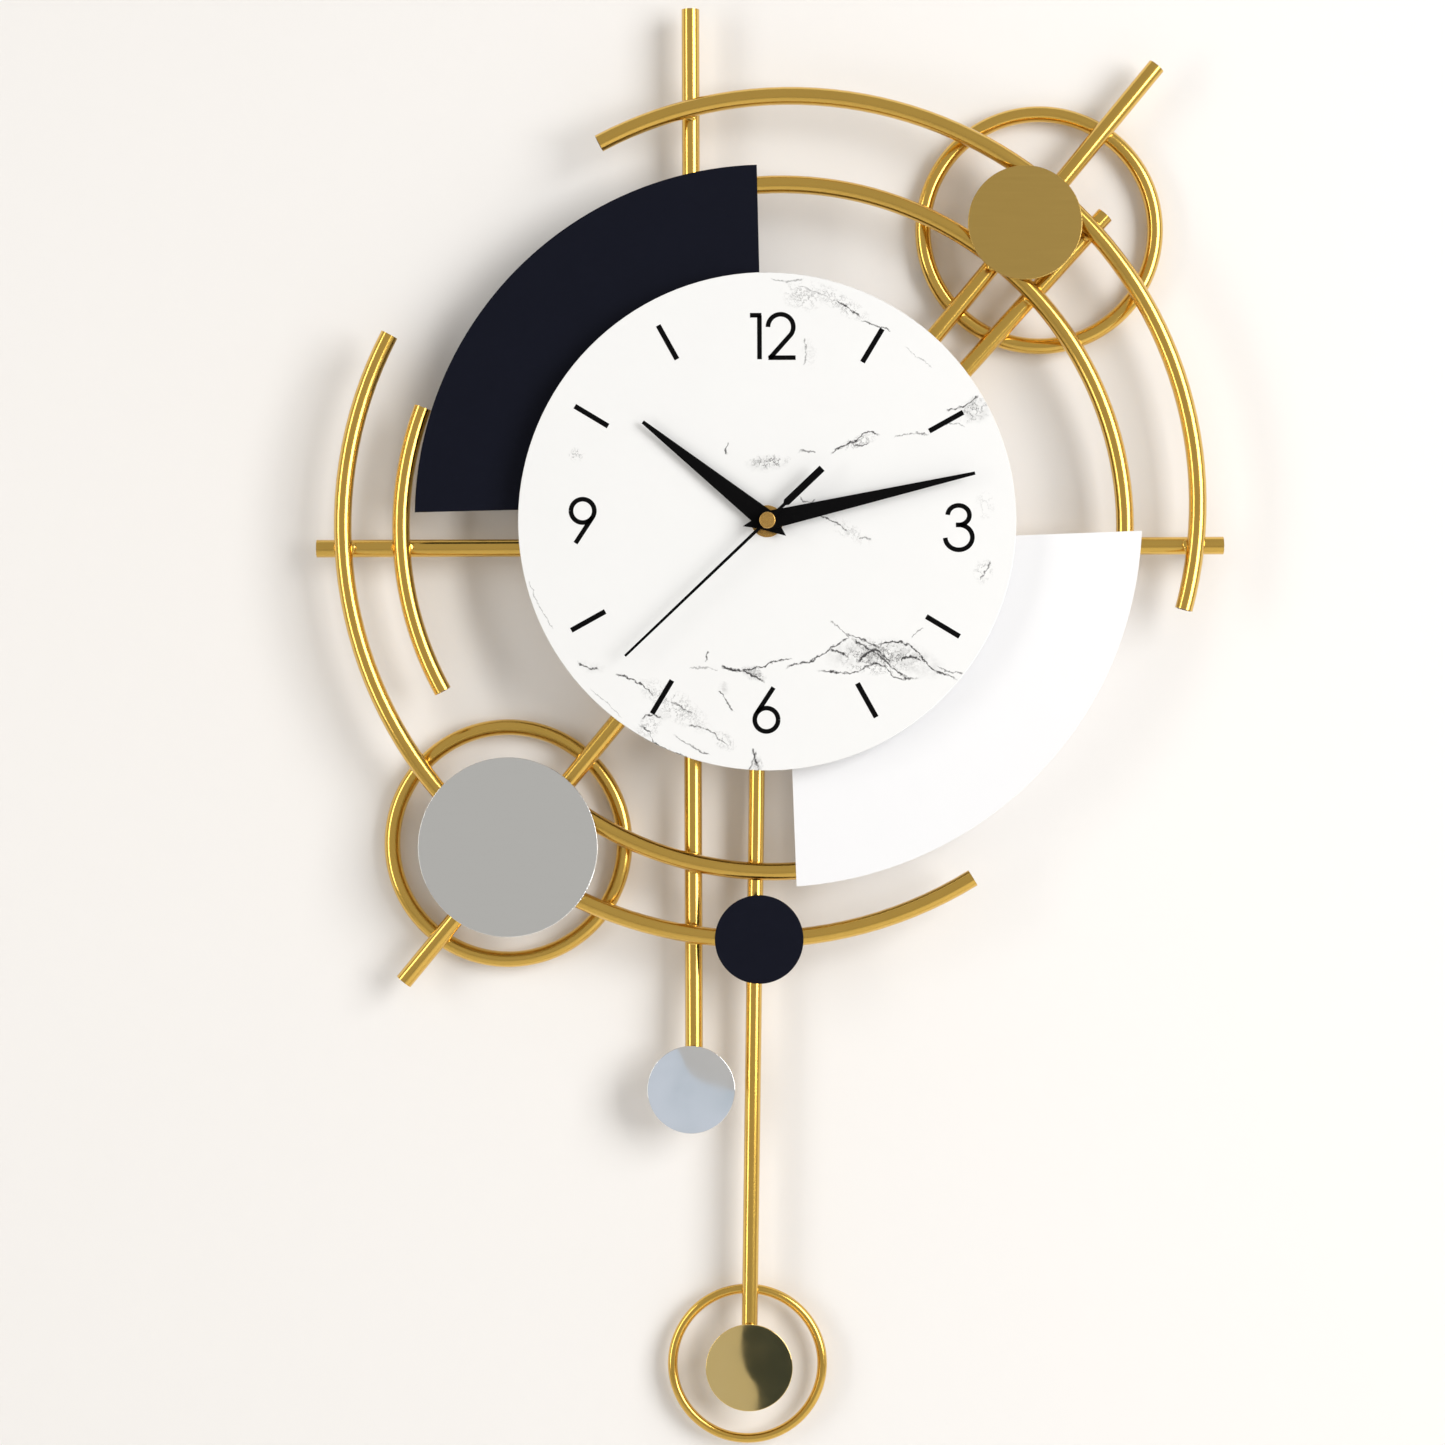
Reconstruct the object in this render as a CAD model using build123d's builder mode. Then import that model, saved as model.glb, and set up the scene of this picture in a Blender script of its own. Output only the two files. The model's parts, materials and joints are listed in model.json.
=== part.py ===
from build123d import *
from math import atan2, cos, degrees, hypot, radians, sin
import os

# Pendulum wall clock, in millimetres, +Z up, seen from the front by looking along +Y.
# The origin is the centre of the hanger's keyhole, on the wall plane Y = 0.
# The clock is laid out about the hand axis, which is also the dial's centre:
# layer(h) is the upright plane h in front of the wall, with its own zero on the hand axis.

os.makedirs("parts", exist_ok=True)

# ---------------------------------------------------------------- driving dimensions
DIAL_X, DIAL_Z = 2.0, -83.0       # hand axis seen from the keyhole

TUBE_D, TUBE_WALL = 10.0, 0.8     # frame bars and arcs
RING_D, RING_WALL = 9.0, 0.8      # tube of the two large rings
ROD_D, ROD_WALL = 9.0, 0.7        # pendulum rod
BOB_RING_D = 5.5                  # solid wire of the pendulum's ring

# distances from the wall
BAR_H = 15.5                      # centre of the straight bars
ARC_H = BAR_H + TUBE_D            # the arcs lie on the bars
RING_H = BAR_H - (TUBE_D + RING_D) / 2   # the rings lie behind the bars
PANEL_H = ARC_H + TUBE_D / 2      # back of the two sheet panels
PLATE_H = BAR_H + TUBE_D / 2      # back of the mounting ring
DISC_H = PANEL_H + 2.0            # back of the discs in front of the arcs
LOW_DISC_H = PLATE_H + 2.0        # back of the disc in front of a straight bar
ROD_H = 15.0                      # centre of the pendulum rod
DIAL_H, DIAL_T = 40.5, 4.0        # back of the dial and its thickness

SHEET_T = 1.5                     # panels and discs
DIAL_R = 137.5
PLATE_R, PLATE_HOLE_R, PLATE_T = 104.0, 62.0, 2.0

# movement, laid out about the hand axis
CASE_HALF_W, CASE_TOP, CASE_BOTTOM, CASE_WALL = 28.0, 28.0, -52.0, 1.5
COVER_H, COVER_T = 22.0, 1.5      # outer face of the rear cover and its thickness
BATTERY_Z, BATTERY_H, BATTERY_R = -26.5, 30.7, 7.15
GEAR_MODULE = 0.3
PIVOT_X, PIVOT_Z = -10.0, -38.0   # pendulum pin
MAGNET_Z = -46.0                  # pendulum magnet and its drive coil
ROD_TILT = 0.95                   # lean of the rod at rest, degrees
ROD_TOP_X, ROD_TOP_Z = -4.5, -57.0


# ---------------------------------------------------------------- helpers
def layer(h, x=0.0, z=0.0):
    """Upright plane h in front of the wall, centred x, z from the hand axis; it faces the room."""
    return Plane(origin=(DIAL_X + x, -h, DIAL_Z + z), x_dir=(1, 0, 0), z_dir=(0, -1, 0))


def point(x, z, h):
    return Vector(DIAL_X + x, -h, DIAL_Z + z)


def save(part, name):
    part.label = name
    export_step(part, f"parts/{name}.step")


def straight_tube(name, start, end, h, diameter=TUBE_D, wall=TUBE_WALL):
    """Saw-cut tube between two points (x, z) of one layer."""
    first, last = point(*start, h), point(*end, h)
    run = last - first
    with BuildPart() as tube:
        with BuildSketch(Plane(origin=first, z_dir=run)):
            Circle(diameter / 2)
            Circle(diameter / 2 - wall, mode=Mode.SUBTRACT)
        extrude(amount=run.length)
    save(tube.part, name)


def bent_tube(name, centre, radius, start, end, h, diameter=TUBE_D, wall=TUBE_WALL):
    """Tube bent to one radius, from start to end degrees, counter-clockwise seen from the front."""
    turn = radians(start)
    first = point(centre[0] + radius * cos(turn), centre[1] + radius * sin(turn), h)
    tangent = (-sin(turn), 0, cos(turn))
    with BuildPart() as tube:
        with BuildSketch(Plane(origin=first, x_dir=(0, 1, 0), z_dir=tangent)):
            Circle(diameter / 2)
            if wall:
                Circle(diameter / 2 - wall, mode=Mode.SUBTRACT)
        revolve(axis=Axis(tuple(point(*centre, h)), (0, -1, 0)), revolution_arc=end - start)
    save(tube.part, name)


def cut_saddle(x, z, h, turn, diameter):
    """Hollows the part being built so that a tube running turn degrees through x, z lies in it."""
    brazing_gap, half_length = 0.03, 8.0
    way = Vector(cos(radians(turn)), 0, sin(radians(turn)))
    with BuildSketch(Plane(origin=point(x, z, h) - way * half_length, z_dir=way)) as section:
        Circle(diameter / 2 + brazing_gap)
    extrude(section.sketch, amount=2 * half_length, mode=Mode.SUBTRACT)


def cut_cross(h, depth, half_length, half_width, x, z):
    """Cuts the cross recess of a screw head."""
    for along_x, along_z in ((half_length, half_width), (half_width, half_length)):
        add_block(h, h + depth, x - along_x, x + along_x, z - along_z, z + along_z,
                  mode=Mode.SUBTRACT)


def disc_with_stud(name, centre, radius, back_h, stud_at, tube_h, tube_turn,
                   tube_d=TUBE_D, stud_r=4.0):
    """Flat disc with a stud on its back, hollowed at its foot to sit on the tube behind it."""
    with BuildPart() as disc:
        add_round(tube_h, back_h, stud_r, *stud_at)
        cut_saddle(*stud_at, tube_h, tube_turn, tube_d)
        add_round(back_h, back_h + SHEET_T, radius, *centre)
        fillet(disc.edges().filter_by(GeomType.CIRCLE).sort_by(Axis.Y)[:1], 0.3)
    save(disc.part, name)


def toothed_outline(teeth, module):
    """Slim straight-flanked clock teeth, so that a pair has generous backlash."""
    root_r = module * (teeth / 2 - 1.2)
    tip_r = module * (teeth / 2 + 0.75)
    pitch = 360 / teeth
    corners = []
    for tooth in range(teeth):
        for r, share in ((root_r, -0.2), (tip_r, -0.1), (tip_r, 0.1), (root_r, 0.2)):
            turn = radians(pitch * (tooth + share))
            corners.append((r * cos(turn), r * sin(turn)))
    return corners


def add_gear(h, thickness, teeth, module=GEAR_MODULE, x=0.0, z=0.0, phase=0.0, bore=0.0):
    """Adds one toothed disc to the part being built; phase turns it by parts of a tooth."""
    with BuildSketch(layer(h, x, z)) as gear:
        with BuildLine(Rotation(0, 0, phase * 360 / teeth)):
            Polyline(*toothed_outline(teeth, module), close=True)
        make_face()
        if bore:
            Circle(bore, mode=Mode.SUBTRACT)
    extrude(gear.sketch, amount=thickness)


def add_round(h_from, h_to, r, x=0.0, z=0.0, bore=0.0, mode=Mode.ADD):
    """Adds (or cuts) a round pin or pipe between two distances from the wall."""
    with BuildSketch(layer(h_from, x, z)) as section:
        Circle(r)
        if bore:
            Circle(bore, mode=Mode.SUBTRACT)
    extrude(section.sketch, amount=h_to - h_from, mode=mode)


def add_block(h_from, h_to, x_from, x_to, z_from, z_to, mode=Mode.ADD):
    """Adds (or cuts) a square-cornered block between two distances from the wall."""
    with BuildSketch(layer(h_from, (x_from + x_to) / 2, (z_from + z_to) / 2)) as section:
        Rectangle(x_to - x_from, z_to - z_from)
    extrude(section.sketch, amount=h_to - h_from, mode=mode)


def towards(angle, distance, origin=(0.0, 0.0)):
    """Point at a distance and an angle, in degrees, from an origin in the dial's plane."""
    return (origin[0] + distance * cos(radians(angle)), origin[1] + distance * sin(radians(angle)))


# ---------------------------------------------------------------- straight bars
# The bars end on the mounting ring, outside the movement's window, so that none of them cross.
DIAGONAL_TURN = 50.4
straight_tube("long_diagonal_upper", (219.2, 255.7), (52.0, 53.8), BAR_H)
straight_tube("long_diagonal_lower", (-204.0, -255.3), (-46.5, -65.0), BAR_H)
straight_tube("short_diagonal", (190.1, 172.5), (73.5, 44.3), BAR_H)
straight_tube("vertical_bar_upper", (-41.6, 288.2), (-41.6, 60.0), BAR_H)
straight_tube("vertical_bar_lower", (-41.6, -78.0), (-41.6, -318.0), BAR_H)
straight_tube("horizontal_bar_left", (-251.8, -12.8), (-66.0, -12.8), BAR_H)
straight_tube("horizontal_bar_right", (255.6, -12.8), (66.0, -12.8), BAR_H)

# ---------------------------------------------------------------- arcs and rings
bent_tube("outer_upper_arc", (13.1, 11.0), 227.1, -15.3, 117.8, ARC_H)
bent_tube("inner_upper_arc", (8.3, -2.5), 191.3, -10.0, 102.0, ARC_H)
OUTER_LOWER_CENTRE, OUTER_LOWER_R = (-5.9, -1.3), 230.4
bent_tube("outer_lower_arc", OUTER_LOWER_CENTRE, OUTER_LOWER_R, 152.3, 301.4, ARC_H)
bent_tube("inner_left_arc", (-14.5, -2.4), 189.3, 159.1, 208.6, ARC_H)
bent_tube("inner_lower_arc", (3.1, -3.0), 191.1, 234.5, 282.0, ARC_H)
UPPER_RING, LOWER_RING, LARGE_RING_R = (154.0, 165.4), (-145.7, -178.4), 65.3
bent_tube("upper_ring", UPPER_RING, LARGE_RING_R, 0, 360, RING_H, RING_D, RING_WALL)
bent_tube("lower_ring", LOWER_RING, LARGE_RING_R, 0, 360, RING_H, RING_D, RING_WALL)


# ---------------------------------------------------------------- sheet panels
def quarter_panel(name, corner, tilt, quadrant, arc_centre, arc_r, inner_r):
    """Quarter ring of sheet, square at its corner; quadrant says which way its edges run."""
    reach = 260.0
    with BuildPart() as panel:
        with BuildSketch(layer(PANEL_H)):
            with Locations(arc_centre):
                Circle(arc_r)
            Circle(inner_r, mode=Mode.SUBTRACT)
            with Locations(Location((*corner, 0), (0, 0, tilt))):
                align = (Align.MAX, Align.MIN) if quadrant == 2 else (Align.MIN, Align.MAX)
                Rectangle(reach, reach, align=align, mode=Mode.INTERSECT)
        extrude(amount=SHEET_T)
        face_edges = panel.faces().sort_by(Axis.Y)[0].edges()
        fillet(face_edges.filter_by(GeomType.CIRCLE).sort_by(SortBy.LENGTH)[-1:], 0.3)
    save(panel.part, name)


PANEL_INNER_R = 84.0
quarter_panel("navy_panel", (-1.0, 10.5), 1.2, 2, (0.4, 2.9), 196.0, PANEL_INNER_R)
quarter_panel("white_panel", (9.2, -12.2), 2.0, 4, (2.5, 3.3), 205.9, PANEL_INNER_R)

# ---------------------------------------------------------------- discs
GREY_STUD_TURN = 232.2            # where the grey disc's stud stands on the outer lower arc
disc_with_stud("upper_gold_disc", (143.9, 166.0), 31.7, DISC_H, (144.9, 166.0), BAR_H, DIAGONAL_TURN)
disc_with_stud("lower_grey_disc", (-144.4, -179.7), 49.9, DISC_H,
               towards(GREY_STUD_TURN, OUTER_LOWER_R, OUTER_LOWER_CENTRE), ARC_H,
               GREY_STUD_TURN + 90)
disc_with_stud("navy_disc", (-5.1, -231.4), 24.6, DISC_H, (-5.1, -231.7), ARC_H, 0.0)
disc_with_stud("silver_disc", (-43.2, -315.7), 24.5, LOW_DISC_H, (-41.6, -306.0), BAR_H, 90.0)

# ---------------------------------------------------------------- mounting ring and dial
PANEL_FIXINGS = [towards(a, 93.0) for a in (125.0, 158.0, 292.0, 338.0)]
DIAL_FIXINGS = [towards(a, 74.0) for a in (30.0, 135.0, 205.0, 300.0)]
FIXING_R, SCREW_R = 4.0, 1.6

with BuildPart() as mounting_ring:
    with BuildSketch(layer(PLATE_H)):
        Circle(PLATE_R)
        Circle(PLATE_HOLE_R, mode=Mode.SUBTRACT)
        with Locations(*PANEL_FIXINGS, *DIAL_FIXINGS):
            Circle(SCREW_R, mode=Mode.SUBTRACT)
    extrude(amount=PLATE_T)
save(mounting_ring.part, "mounting_ring")


def standoffs(name, places, length):
    """Round spacers on the front of the mounting ring, with a blind screw hole each."""
    screw_depth = 5.0
    with BuildPart() as spacers:
        for x, z in places:
            add_round(PLATE_H + PLATE_T, PLATE_H + PLATE_T + length, FIXING_R, x, z)
            add_round(PLATE_H + PLATE_T, PLATE_H + PLATE_T + screw_depth, SCREW_R, x, z,
                      mode=Mode.SUBTRACT)
    save(spacers.part, name)


standoffs("panel_standoffs", PANEL_FIXINGS, PANEL_H - PLATE_H - PLATE_T)
standoffs("dial_standoffs", DIAL_FIXINGS, DIAL_H - PLATE_H - PLATE_T)

with BuildPart() as plate_screws:
    head_r, head_t, reach = 3.2, 2.0, 6.0
    for x, z in PANEL_FIXINGS + DIAL_FIXINGS:
        add_round(PLATE_H - head_t, PLATE_H, head_r, x, z)
        add_round(PLATE_H, PLATE_H + reach, SCREW_R, x, z)
        cut_cross(PLATE_H - head_t, 1.2, 1.9, 0.4, x, z)
save(plate_screws.part, "plate_screws")

with BuildPart() as dial:
    add_round(DIAL_H, DIAL_H + DIAL_T, DIAL_R)
    add_round(DIAL_H, DIAL_H + DIAL_T, 4.2, mode=Mode.SUBTRACT)
    fillet(dial.edges().filter_by(GeomType.CIRCLE).sort_by(SortBy.RADIUS)[-2:], 0.4)
save(dial.part, "dial")

# ---------------------------------------------------------------- wall hanger and feet
KEYHOLE_R, SLOT_R, SLOT_RISE = 4.5, 2.2, 8.0
HANGER_HALF_W, HANGER_T = 18.0, 2.0
with BuildPart() as wall_hanger:
    web_bottom, web_top = -DIAL_Z - 12.0, -DIAL_Z + 13.0
    flange_bottom, flange_top = web_bottom - 8.0, web_top + 7.0
    for z_from, z_to, h_from, h_to in (
        (web_bottom, web_top, 0.0, HANGER_T),
        (web_bottom, web_bottom + HANGER_T, 0.0, PLATE_H),
        (web_top - HANGER_T, web_top, 0.0, PLATE_H),
        (flange_bottom, web_bottom + HANGER_T, PLATE_H - HANGER_T, PLATE_H),
        (web_top - HANGER_T, flange_top, PLATE_H - HANGER_T, PLATE_H),
    ):
        add_block(h_from, h_to, -DIAL_X - HANGER_HALF_W, -DIAL_X + HANGER_HALF_W, z_from, z_to)
    with BuildSketch(layer(0, -DIAL_X, -DIAL_Z)):
        Circle(KEYHOLE_R)
        with Locations((0, SLOT_RISE)):
            Circle(SLOT_R)
        with Locations((0, SLOT_RISE / 2)):
            Rectangle(2 * SLOT_R, SLOT_RISE)
    extrude(amount=HANGER_T, mode=Mode.SUBTRACT)
save(wall_hanger.part, "wall_hanger")

# Rubber feet keep the frame off the wall: two are glued behind each large ring, which they
# cup, and one tall foot stands behind each end of the horizontal bars.
FEET = [
    (*towards(57.1, LARGE_RING_R, UPPER_RING), RING_H, 57.1 + 90, RING_D),
    (*towards(200.0, LARGE_RING_R, UPPER_RING), RING_H, 200.0 + 90, RING_D),
    (*towards(234.0, LARGE_RING_R, LOWER_RING), RING_H, 234.0 + 90, RING_D),
    (*towards(20.0, LARGE_RING_R, LOWER_RING), RING_H, 20.0 + 90, RING_D),
    (238.9, -12.8, BAR_H, 0.0, TUBE_D),
    (-236.0, -12.8, BAR_H, 0.0, TUBE_D),
]
FOOT_R = 3.4
with BuildPart() as wall_feet:
    for x, z, tube_h, tube_turn, tube_d in FEET:
        add_round(0, tube_h, FOOT_R, x, z)
        cut_saddle(x, z, tube_h, tube_turn, tube_d)
save(wall_feet.part, "wall_feet")

# ---------------------------------------------------------------- movement: gear centres
SECOND_TEETH, SECOND_PINION = 60, 8
INTERMEDIATE_TEETH, INTERMEDIATE_PINION = 40, 10
ROTOR_PINION = 8
THIRD_TEETH, THIRD_PINION = 60, 8
CENTRE_TEETH, CANNON_PINION = 64, 12
MINUTE_TEETH, MINUTE_PINION = 36, 10
HOUR_TEETH, SETTING_PINION = 40, 12

INTERMEDIATE_AT = towards(0, GEAR_MODULE * (SECOND_TEETH + INTERMEDIATE_PINION) / 2)
ROTOR_AT = towards(0, GEAR_MODULE * (INTERMEDIATE_TEETH + ROTOR_PINION) / 2, INTERMEDIATE_AT)
THIRD_REACH = GEAR_MODULE * (THIRD_TEETH + SECOND_PINION) / 2
THIRD_AT = towards(120, THIRD_REACH)
CENTRE_MODULE = 2 * THIRD_REACH / (CENTRE_TEETH + THIRD_PINION)
MINUTE_REACH = GEAR_MODULE * (MINUTE_TEETH + CANNON_PINION) / 2
MINUTE_AT = towards(-120, MINUTE_REACH)
HOUR_MODULE = 2 * MINUTE_REACH / (HOUR_TEETH + MINUTE_PINION)
SETTING_AT = towards(-150, GEAR_MODULE * (MINUTE_TEETH + SETTING_PINION) / 2, MINUTE_AT)

ARBOR_R, PIVOT_R, BEARING_R = 0.5, 0.4, 0.45
ARBOR_REAR_H = COVER_H + 0.7      # pivots sit in blind bearings of the cover
TRAIN_PLATE_H, TRAIN_PLATE_T = 31.6, 0.8
CASE_INNER_H = DIAL_H - CASE_WALL  # inner face of the housing's front wall
CASE_REAR_H = COVER_H + COVER_T
SCREW_POSTS = [(x, z) for x in (-24.2, 24.2) for z in (CASE_TOP - 3.8, CASE_BOTTOM + 3.8)]
BUSHING_R, BUSHING_BORE_R = 4.0, 2.38

# ---------------------------------------------------------------- movement: case
with BuildPart() as movement_housing:
    inner_w = CASE_HALF_W - CASE_WALL
    add_block(CASE_REAR_H, DIAL_H, -CASE_HALF_W, CASE_HALF_W, CASE_BOTTOM, CASE_TOP)
    fillet(movement_housing.edges().filter_by(Axis.Y), 2.5)
    add_block(CASE_REAR_H, CASE_INNER_H, -inner_w, inner_w,
              CASE_BOTTOM + CASE_WALL, CASE_TOP - CASE_WALL, mode=Mode.SUBTRACT)
    for wall_z in (BATTERY_Z - 8.0, BATTERY_Z + 8.0):
        add_block(CASE_REAR_H, CASE_INNER_H, -inner_w, inner_w, wall_z - 0.5, wall_z + 0.5)
    for x, z in SCREW_POSTS:
        add_round(CASE_REAR_H, CASE_INNER_H, 2.4, x, z)
        add_round(CASE_REAR_H, CASE_REAR_H + 6.0, 0.9, x, z, mode=Mode.SUBTRACT)
    add_round(CASE_INNER_H, DIAL_H, BUSHING_R, mode=Mode.SUBTRACT)
save(movement_housing.part, "movement_housing")

with BuildPart() as movement_cover:
    add_block(COVER_H, CASE_REAR_H, -CASE_HALF_W, CASE_HALF_W, CASE_BOTTOM, CASE_TOP)
    fillet(movement_cover.edges().filter_by(Axis.Y), 2.5)
    add_block(COVER_H, CASE_REAR_H, -25.5, 25.5, BATTERY_Z - 7.4, BATTERY_Z + 7.4,
              mode=Mode.SUBTRACT)
    add_round(COVER_H - 4.5, COVER_H, 2.6, PIVOT_X, PIVOT_Z)
    add_round(COVER_H - 4.5, CASE_REAR_H, 1.5, PIVOT_X, PIVOT_Z, mode=Mode.SUBTRACT)
    add_round(COVER_H, CASE_REAR_H, 0.88, *SETTING_AT, mode=Mode.SUBTRACT)
    for place in (ROTOR_AT, INTERMEDIATE_AT, (0.0, 0.0), THIRD_AT):
        add_round(ARBOR_REAR_H - 0.1, CASE_REAR_H, BEARING_R, *place, mode=Mode.SUBTRACT)
    for x, z in SCREW_POSTS:
        add_round(COVER_H, CASE_REAR_H, 0.9, x, z, mode=Mode.SUBTRACT)
save(movement_cover.part, "movement_cover")

with BuildPart() as cover_screws:
    for x, z in SCREW_POSTS:
        add_round(COVER_H - 0.9, COVER_H, 1.8, x, z)
        add_round(COVER_H, CASE_REAR_H + 5.5, 0.9, x, z)
        cut_cross(COVER_H - 0.9, 0.6, 1.1, 0.25, x, z)
save(cover_screws.part, "cover_screws")

DIAL_FRONT_H = DIAL_H + DIAL_T
WASHER_T, NUT_T = 0.5, 2.0
BUSHING_TOP_H = DIAL_FRONT_H + WASHER_T + NUT_T + 0.2
with BuildPart() as threaded_bushing:
    add_round(CASE_INNER_H - 1.0, CASE_INNER_H, 6.0)
    add_round(CASE_INNER_H, BUSHING_TOP_H, BUSHING_R)
    add_round(CASE_INNER_H - 1.0, BUSHING_TOP_H, BUSHING_BORE_R, mode=Mode.SUBTRACT)
save(threaded_bushing.part, "threaded_bushing")

with BuildPart() as dial_washer:
    add_round(DIAL_FRONT_H, DIAL_FRONT_H + WASHER_T, 8.8, bore=BUSHING_R)
save(dial_washer.part, "dial_washer")

with BuildPart() as hex_nut:
    with BuildSketch(layer(DIAL_FRONT_H + WASHER_T)):
        RegularPolygon(radius=6.0, side_count=6)
        Circle(BUSHING_R, mode=Mode.SUBTRACT)
    extrude(amount=NUT_T)
save(hex_nut.part, "hex_nut")

# ---------------------------------------------------------------- movement: electrics
BATTERY_LEFT, BATTERY_RIGHT = -24.8, 24.0
with BuildPart() as battery:
    with BuildSketch(Plane(origin=point(BATTERY_LEFT, BATTERY_Z, BATTERY_H), z_dir=(1, 0, 0))):
        Circle(BATTERY_R)
    extrude(amount=BATTERY_RIGHT - BATTERY_LEFT)
    fillet(battery.edges().filter_by(GeomType.CIRCLE), 0.6)
    with BuildSketch(Plane(origin=point(BATTERY_RIGHT, BATTERY_Z, BATTERY_H), z_dir=(1, 0, 0))):
        Circle(2.7)
    extrude(amount=1.3)
save(battery.part, "battery")

CONTACT_T, CONTACT_HALF = 0.4, 5.0
with BuildPart() as battery_contacts:
    for x_from, x_to in ((BATTERY_RIGHT + 1.3, BATTERY_RIGHT + 1.3 + CONTACT_T),
                         (BATTERY_LEFT - 1.2, BATTERY_LEFT - 1.2 + CONTACT_T)):
        add_block(BATTERY_H - CONTACT_HALF, BATTERY_H + CONTACT_HALF, x_from, x_to,
                  BATTERY_Z - CONTACT_HALF, BATTERY_Z + CONTACT_HALF)
    with BuildSketch(Plane(origin=point(BATTERY_LEFT, BATTERY_Z, BATTERY_H), z_dir=(-1, 0, 0))):
        Circle(3.0)
    extrude(amount=0.8)
save(battery_contacts.part, "battery_contacts")

BOARD_H = 25.5
with BuildPart() as circuit_board:
    add_block(BOARD_H, BOARD_H + 0.8, -26.5, -16.0, 2.0, 20.0)
    add_block(BOARD_H + 0.8, BOARD_H + 2.0, -25.0, -20.0, 10.0, 15.0)
    add_block(BOARD_H + 0.8, BOARD_H + 2.6, -19.0, -17.2, 9.0, 15.5)
save(circuit_board.part, "circuit_board")

STATOR_H, STATOR_T = 29.2, 0.8
with BuildPart() as stator:
    leg_top, leg_bottom = 14.5, 10.5
    with BuildSketch(layer(STATOR_H)):
        with Locations(ROTOR_AT):
            Circle(6.0)
        for x_from, x_to, z_from, z_to in ((8.5, 13.5, 3.0, leg_top), (22.0, 26.3, 0.0, leg_top),
                                           (8.5, 26.3, leg_bottom, leg_top)):
            with Locations(((x_from + x_to) / 2, (z_from + z_to) / 2)):
                Rectangle(x_to - x_from, z_to - z_from)
        with Locations(ROTOR_AT):
            Circle(3.7, mode=Mode.SUBTRACT)
    extrude(amount=STATOR_T)
save(stator.part, "stator")

with BuildPart() as motor_coil:
    coil_z, coil_h = (leg_top + leg_bottom) / 2, STATOR_H + STATOR_T / 2
    for x_from, x_to, r in ((14.2, 14.9, 3.6), (14.9, 21.0, 3.1), (21.0, 21.7, 3.6)):
        with BuildSketch(Plane(origin=point(x_from, coil_z, coil_h), z_dir=(1, 0, 0))):
            Circle(r)
        extrude(amount=x_to - x_from)
    add_block(STATOR_H, STATOR_H + STATOR_T, 14.0, 22.0, leg_bottom, leg_top, mode=Mode.SUBTRACT)
save(motor_coil.part, "motor_coil")

with BuildPart() as pendulum_coil:
    add_round(CASE_REAR_H, CASE_REAR_H + 5.0, 5.5, PIVOT_X, MAGNET_Z + 2.5, bore=1.5)
save(pendulum_coil.part, "pendulum_coil")

# ---------------------------------------------------------------- movement: train plate
with BuildPart() as train_plate:
    plate_top_h = TRAIN_PLATE_H + TRAIN_PLATE_T
    add_block(TRAIN_PLATE_H, plate_top_h, -17.0, 12.5, -15.0, 16.0)
    add_block(TRAIN_PLATE_H, plate_top_h, 12.5, 22.0, -15.0, 8.0)
    for x, z in ((-15.0, 13.5), (10.5, 13.5), (20.0, -13.0), (-15.0, -13.5)):
        add_round(plate_top_h, CASE_INNER_H, 1.4, x, z)
    add_round(plate_top_h, plate_top_h + 3.7, 0.6, *MINUTE_AT)
    add_round(TRAIN_PLATE_H, plate_top_h, 1.5, mode=Mode.SUBTRACT)
    add_round(TRAIN_PLATE_H, plate_top_h, 0.88, *SETTING_AT, mode=Mode.SUBTRACT)
    for place in (ROTOR_AT, INTERMEDIATE_AT, THIRD_AT):
        add_round(TRAIN_PLATE_H, plate_top_h, BEARING_R, *place, mode=Mode.SUBTRACT)
save(train_plate.part, "train_plate")


# ---------------------------------------------------------------- movement: wheels
def add_arbor(x, z):
    """Thin steel arbor with a finer pivot at each end, from the cover to the train plate."""
    add_round(ARBOR_REAR_H, TRAIN_PLATE_H + 0.6, PIVOT_R, x, z)
    add_round(CASE_REAR_H + 0.3, TRAIN_PLATE_H - 0.15, ARBOR_R, x, z)


# A wheel with a tooth on the line of centres meets a pinion with a gap there,
# so phases of half a tooth are worked out from the direction of each line of centres.
def facing(teeth, angle, gap=False):
    """Phase, in teeth, that points a tooth (or a gap) in the direction of angle."""
    return (angle / 360 * teeth + (0.5 if gap else 0.0)) % 1.0


with BuildPart() as rotor:
    add_arbor(*ROTOR_AT)
    add_gear(25.3, 1.2, ROTOR_PINION, x=ROTOR_AT[0], z=ROTOR_AT[1],
             phase=facing(ROTOR_PINION, 180, gap=True))
    add_round(26.9, 31.4, 3.2, *ROTOR_AT)
save(rotor.part, "rotor")

with BuildPart() as intermediate_wheel:
    add_arbor(*INTERMEDIATE_AT)
    add_gear(25.5, 0.8, INTERMEDIATE_TEETH, x=INTERMEDIATE_AT[0], z=INTERMEDIATE_AT[1])
    add_gear(26.3, 1.8, INTERMEDIATE_PINION, x=INTERMEDIATE_AT[0], z=INTERMEDIATE_AT[1],
             phase=facing(INTERMEDIATE_PINION, 180, gap=True))
save(intermediate_wheel.part, "intermediate_wheel")

SECOND_ARBOR_R, SECOND_TOP_H = 0.65, 55.5
with BuildPart() as second_wheel:
    add_round(ARBOR_REAR_H, CASE_REAR_H + 0.3, PIVOT_R)
    add_round(CASE_REAR_H + 0.3, SECOND_TOP_H, SECOND_ARBOR_R)
    add_gear(27.1, 0.8, SECOND_TEETH)
    add_gear(28.4, 1.4, SECOND_PINION, phase=facing(SECOND_PINION, 120, gap=True))
save(second_wheel.part, "second_wheel")

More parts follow.
